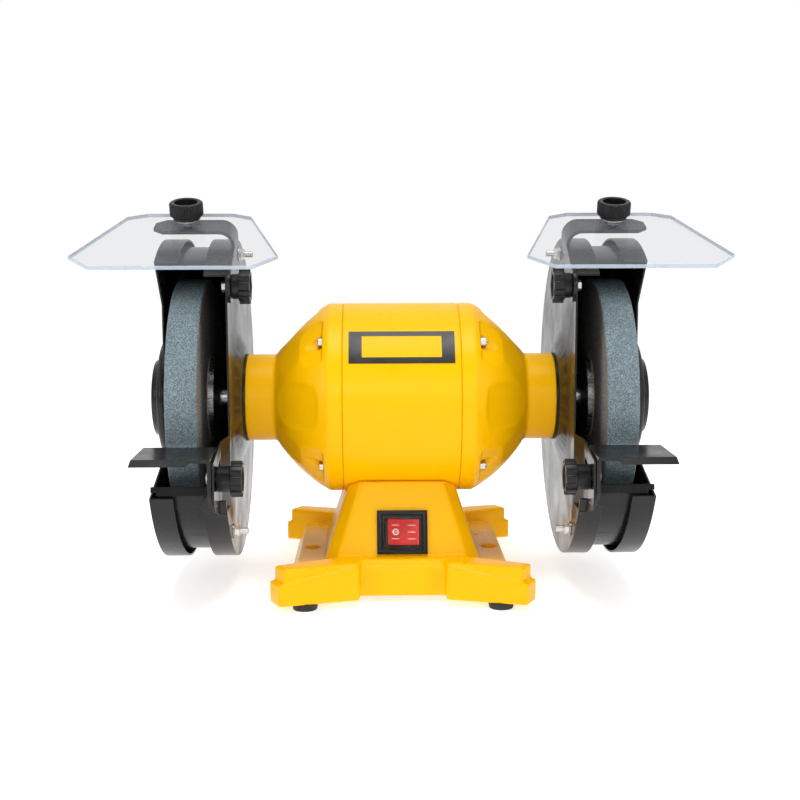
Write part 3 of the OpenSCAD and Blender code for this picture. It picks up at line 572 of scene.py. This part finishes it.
class GRINDER_OT_top_knobs(GrinderOperator, bpy.types.Operator):
    """Turns the fluted top knobs, their bolts and their toothed washers"""
    bl_idname = "grinder.top_knobs"
    bl_label = "Top knobs"

    def execute(self, context):
        count = detail().flutes
        for side in SIDES:
            at = on_joint(f"top_knob_turn_{side}")
            knob = turned(f"moulded_top_knob_{side}", 4 * count, [
                (0.0104, 0.0054), (0.011, 0.0058), (0.011, 0.008), (0.0128, 0.0084), (0.0135, 0.0092),
                (0.0135, 0.0180), (0.0131, 0.0188), (0.0121, 0.0194), (0.0100, 0.0194), (0.0093, 0.0190),
                (0.0092, 0.0149),
                (0.0040, 0.0149), (0.0031, 0.0145), (0.0031, 0.0120)])
            fluted(knob, count, 0.0126, 0.014, 0.955)
            smooth(knob, 38)
            place(knob, f"top_knob_{side}", f"top_knob_{side}", "black_plastic", at=at)
            bolt = turned(f"turned_top_bolt_{side}", 48, [
                (0.0052, -0.0056), (0.006, -0.0052), (0.006, -0.003), (0.003, -0.003), (0.003, 0.0141),
                (0.0026, 0.0144)])
            smooth(bolt)
            place(bolt, f"top_bolt_{side}", f"bracket_{side}", "zinc", at=at)
            washer = turned(f"toothed_washer_{side}", 96, [
                (0.0078, 0.0034), (0.0084, 0.0038), (0.0084, 0.0046), (0.0074, 0.005), (0.0062, 0.0052)])
            fluted(washer, 24, 0.0082, 0.009, 0.9)
            smooth(washer, 20)
            place(washer, f"top_bolt_{side}", f"bracket_{side}", "zinc", at=at)
        return {"FINISHED"}


class GRINDER_OT_shields(GrinderOperator, bpy.types.Operator):
    """Polishes the edges of the clear eye shields and gives them a painted highlight"""
    bl_idname = "grinder.shields"
    bl_label = "Eye shields"

    def execute(self, context):
        for side in SIDES:
            node = f"eye_shield_{side}"
            piece = softened(f"clear_{node}", node, detail().shield_edge, segments=2, angle=40)
            up = on_joint(f"shield_swivel_{side}").to_3x3() @ Vector((0, 0, 1))
            place(piece, node, f"shield_{side}", "clear_plastic", "clear", "painted_edge_highlight")
            # Faces off the shield's plane, its edges and bevels, take the second finish, the painted edge
            # highlight
            for face in piece.data.polygons:
                face.material_index = int(abs(face.normal.dot(up)) < 0.98)
        return {"FINISHED"}


class GRINDER_OT_switch(GrinderOperator, bpy.types.Operator):
    """Rounds the switch's frame and rocker and prints its two marks"""
    bl_idname = "grinder.switch"
    bl_label = "Switch"

    def execute(self, context):
        surround = softened("moulded_switch_frame", "switch_body", 0.0007, angle=50, shortest=0.012)
        place(surround, "switch_body", "frame", "black_plastic")
        rocker = softened("moulded_rocker", "switch_rocker", 0.0005, angle=35)
        place(rocker, "switch_rocker", "rocker", "red_plastic")
        hood = softened("moulded_hood", "switch_cover", 0.0004, angle=35)
        place(hood, "switch_cover", "frame", "clear_plastic")
        for name, half in (("off", -1), ("on", 1)):
            at = self.rocker_top(half)
            for i, y in enumerate((-0.0055, 0, 0.0055)):
                bar = turned(f"{name}_bar_{i}", 16, [(0.0005, 0), (0.0005, 0.0001), (0.0003, 0.00014)])
                bar.scale = (7, 0.5, 1)
                self.print_mark(bar, at @ Matrix.Translation((half * 0.0002, y, 0)))
        ring = turned("off_ring", 40, [(0.0026, 0), (0.0026, 0.0002), (0.0017, 0.0002), (0.0017, 0)])
        self.print_mark(ring, self.rocker_top(-1))
        return {"FINISHED"}

    def print_mark(self, mark, at):
        place(mark, "switch_rocker", "rocker", "red_plastic", "white_mark", at=at, stands_for=False)

    def rocker_top(self, half):
        """A frame on one half of the rocker's dished top: X across, Y up the switch, Z out of it."""
        centre, up = joint("rocker_tilt")
        across = Vector((1, 0, 0))
        turn = Matrix((across, up, across.cross(up))).transposed().to_4x4()
        tipped = Matrix.Rotation(math.radians(8), 4, "Y")
        middle = Matrix.Translation((half * 0.0065, 0, 0.00775))
        dish = Matrix.Rotation(-half * math.atan2(1.5, 13), 4, "Y")
        return Matrix.Translation(centre) @ turn @ tipped @ middle @ dish


class GRINDER_OT_nameplate(GrinderOperator, bpy.types.Operator):
    """Lays the plain coloured panel into the nameplate"""
    bl_idname = "grinder.nameplate"
    bl_label = "Nameplate"

    def execute(self, context):
        bpy.ops.object.select_all(action="DESELECT")
        bpy.ops.mesh.primitive_plane_add(size=2)
        piece = context.object
        piece.name = piece.data.name = "nameplate_panel"
        pick(piece, "VERT", lambda v: v.co.y > 0)
        bpy.ops.mesh.delete(type="VERT")
        bpy.ops.object.mode_set(mode="OBJECT")
        radius, half, span = 0.0798, 0.032, 0.25
        start = math.radians(180 - 37.5) + span / 2
        low = Vector((0, radius * math.cos(start), radius * math.sin(start))) + AXIS
        for v in piece.data.vertices:
            v.co = Vector((half * (1 if v.co.x > 0 else -1), low.y, low.z))
        edit(piece, lambda: bpy.ops.mesh.spin(steps=16, angle=span, center=AXIS, axis=(1, 0, 0)))
        modify(piece, "SOLIDIFY", thickness=0.00016, offset=0)
        edit(piece, lambda: bpy.ops.mesh.normals_make_consistent(inside=False))
        smooth(piece)
        place(piece, "nameplate", "frame", "label", "label_panel", stands_for=False)
        return {"FINISHED"}


class GRINDER_OT_stage(GrinderOperator, bpy.types.Operator):
    """Sets the floor, the soft studio light and the camera"""
    bl_idname = "grinder.stage"
    bl_label = "Stage"

    def execute(self, context):
        s = context.scene.grinder_stage
        bpy.ops.object.select_all(action="DESELECT")
        bpy.ops.mesh.primitive_plane_add(size=14, location=(0, 3, CAD_BOX[0].z))
        floor = context.object
        floor.name = "studio_floor"
        f = Finish("studio_floor", Roughness=0.7, Specular_IOR_Level=0.1)
        f.base(f.ramp(f.noise(1.5), (0.3, shade(s.floor, 0.99)), (0.7, tuple(s.floor))))
        f.shader.inputs["Emission Color"].default_value = (1, 1, 1, 1)
        f.shader.inputs["Emission Strength"].default_value = 0.55
        floor.data.materials.append(f.mat)
        world = bpy.data.worlds.new("studio_world")
        world.use_nodes = True
        self.surround(world.node_tree)
        context.scene.world = world
        self.light("overhead_softbox", (0, -0.35, 1.5), (0.9, 0.7), s.key, AXIS)
        for side, x in (("left", -1.25), ("right", 1.25)):
            self.light(side + "_softbox", (x, -0.75, 0.75), (0.5, 0.9), s.fill, AXIS)
        self.light("front_softbox", (0, -1.9, 0.75), (1.3, 0.6), s.front, AXIS)
        camera = bpy.data.cameras.new("camera")
        camera.lens = s.lens
        camera.sensor_width = 36
        eye = bpy.data.objects.new("camera", camera)
        context.scene.collection.objects.link(eye)
        heading, dip, roll = -0.0195, 0.1311, -0.0027
        turn = Matrix.Rotation(heading, 4, "Z") @ Matrix.Rotation(math.pi / 2 - dip, 4, "X")
        stand = Matrix.Translation(AXIS + Vector((-0.02168, -1.09809, 0.14170)))
        eye.matrix_world = stand @ turn @ Matrix.Rotation(roll, 4, "Z")
        context.scene.camera = eye
        context.scene.view_settings.view_transform = "Standard"
        return {"FINISHED"}

    def surround(self, tree):
        """A white studio that is darker on the operator's side, where black enamel mirrors it."""
        new, link = tree.nodes.new, tree.links.new
        toward = new("ShaderNodeSeparateXYZ")
        link(new("ShaderNodeTexCoord").outputs["Generated"], toward.inputs[0])
        ramp = new("ShaderNodeValToRGB")
        span = new("ShaderNodeMapRange")
        span.inputs["From Min"].default_value = -1
        link(toward.outputs["Y"], span.inputs["Value"])
        link(span.outputs[0], ramp.inputs["Fac"])
        for element, (position, value) in zip(ramp.color_ramp.elements, ((0.3, 0.2), (0.75, 0.85))):
            element.position = position
            element.color = (value, value, value, 1)
        seen = new("ShaderNodeMix")
        seen.data_type = "RGBA"
        link(new("ShaderNodeLightPath").outputs["Is Camera Ray"], seen.inputs[0])
        link(ramp.outputs["Color"], seen.inputs[6])
        seen.inputs[7].default_value = (1, 1, 1, 1)
        link(seen.outputs[2], tree.nodes["Background"].inputs[0])
        tree.nodes["Background"].inputs[1].default_value = 1.0

    def light(self, name, at, size, power, target):
        lamp = bpy.data.lights.new(name, "AREA")
        lamp.shape = "RECTANGLE"
        lamp.size, lamp.size_y = size
        lamp.energy = power
        holder = bpy.data.objects.new(name, lamp)
        holder.location = at
        holder.rotation_euler = (target - Vector(at)).to_track_quat("-Z", "Y").to_euler()
        bpy.context.scene.collection.objects.link(holder)


OPERATORS = [
    GRINDER_OT_finishes, GRINDER_OT_castings, GRINDER_OT_sheet_parts, GRINDER_OT_hardware,
    GRINDER_OT_lobed_knobs, GRINDER_OT_top_knobs, GRINDER_OT_shields, GRINDER_OT_switch,
    GRINDER_OT_nameplate, GRINDER_OT_stage,
]


class GRINDER_PT_panel(bpy.types.Panel):
    """Lists the grinder's settings and steps"""
    bl_label = "Bench grinder"
    bl_idname = "GRINDER_PT_panel"
    bl_space_type = "VIEW_3D"
    bl_region_type = "UI"
    bl_category = "Grinder"

    def draw(self, context):
        for group in (context.scene.grinder_paint, context.scene.grinder_detail, context.scene.grinder_stage):
            box = self.layout.box()
            for key in group.__annotations__:
                box.prop(group, key)
        for step in OPERATORS:
            self.layout.operator(step.bl_idname)


GROUPS = {"grinder_paint": GrinderPaint, "grinder_detail": GrinderDetail, "grinder_stage": GrinderStage}


def register():
    for group in GROUPS.values():
        bpy.utils.register_class(group)
    for key, group in GROUPS.items():
        setattr(bpy.types.Scene, key, PointerProperty(type=group))
    for cls in [*OPERATORS, GRINDER_PT_panel]:
        bpy.utils.register_class(cls)


def unregister():
    for cls in [GRINDER_PT_panel, *reversed(OPERATORS)]:
        bpy.utils.unregister_class(cls)
    for key in GROUPS:
        delattr(bpy.types.Scene, key)
    for group in GROUPS.values():
        bpy.utils.unregister_class(group)


def main():
    register()
    for step in OPERATORS:
        group, name = step.bl_idname.split(".")
        getattr(getattr(bpy.ops, group), name)()


if __name__ == "__main__":
    main()
